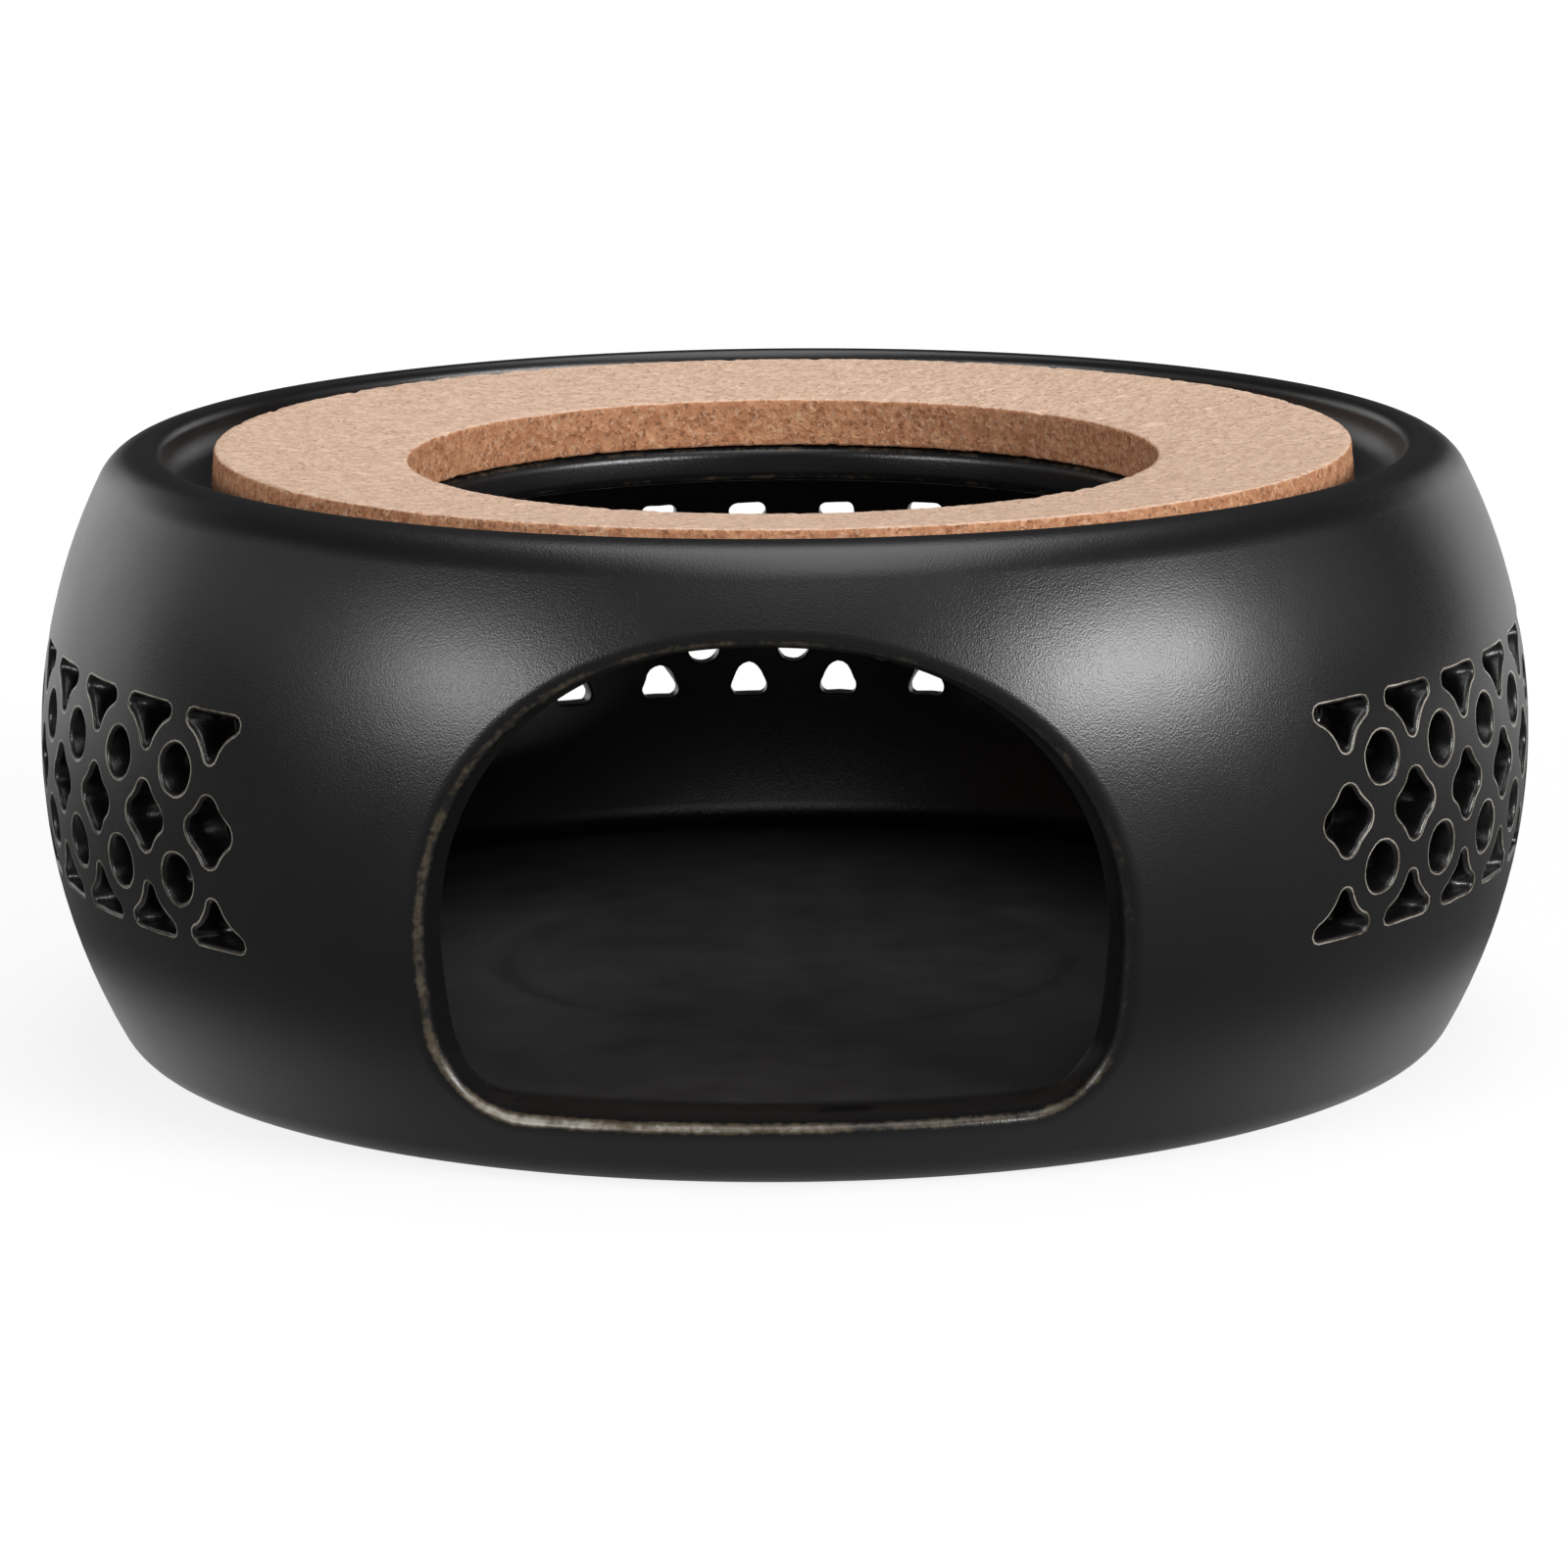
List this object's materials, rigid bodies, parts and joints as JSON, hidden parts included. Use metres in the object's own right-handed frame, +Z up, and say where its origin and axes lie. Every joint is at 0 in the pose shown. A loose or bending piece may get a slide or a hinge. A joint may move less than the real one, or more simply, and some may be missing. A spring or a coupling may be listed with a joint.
{
  "type": "teapot warmer",
  "caption": "Squat round ceramic stove with an arched window for a burner, a pierced band of stars and circles, and a loose cork ring on the sunken seat that carries a teapot.",
  "frame": {"origin": "centre of the foot, on the surface the warmer stands on", "axes": "+Z up along the body's axis, the window faces -Y, +X to the right seen from the window"},
  "size_m": [0.1498, 0.1461, 0.0607],
  "materials": {
    "black_glaze": "satin black glaze that breaks to brown at the edges",
    "cork": "pressed cork granules, cut and lightly sanded"
  },
  "bodies": {
    "root": {"stove_body": "black_glaze", "cork_ring": "cork"}
  },
  "joints": []
}
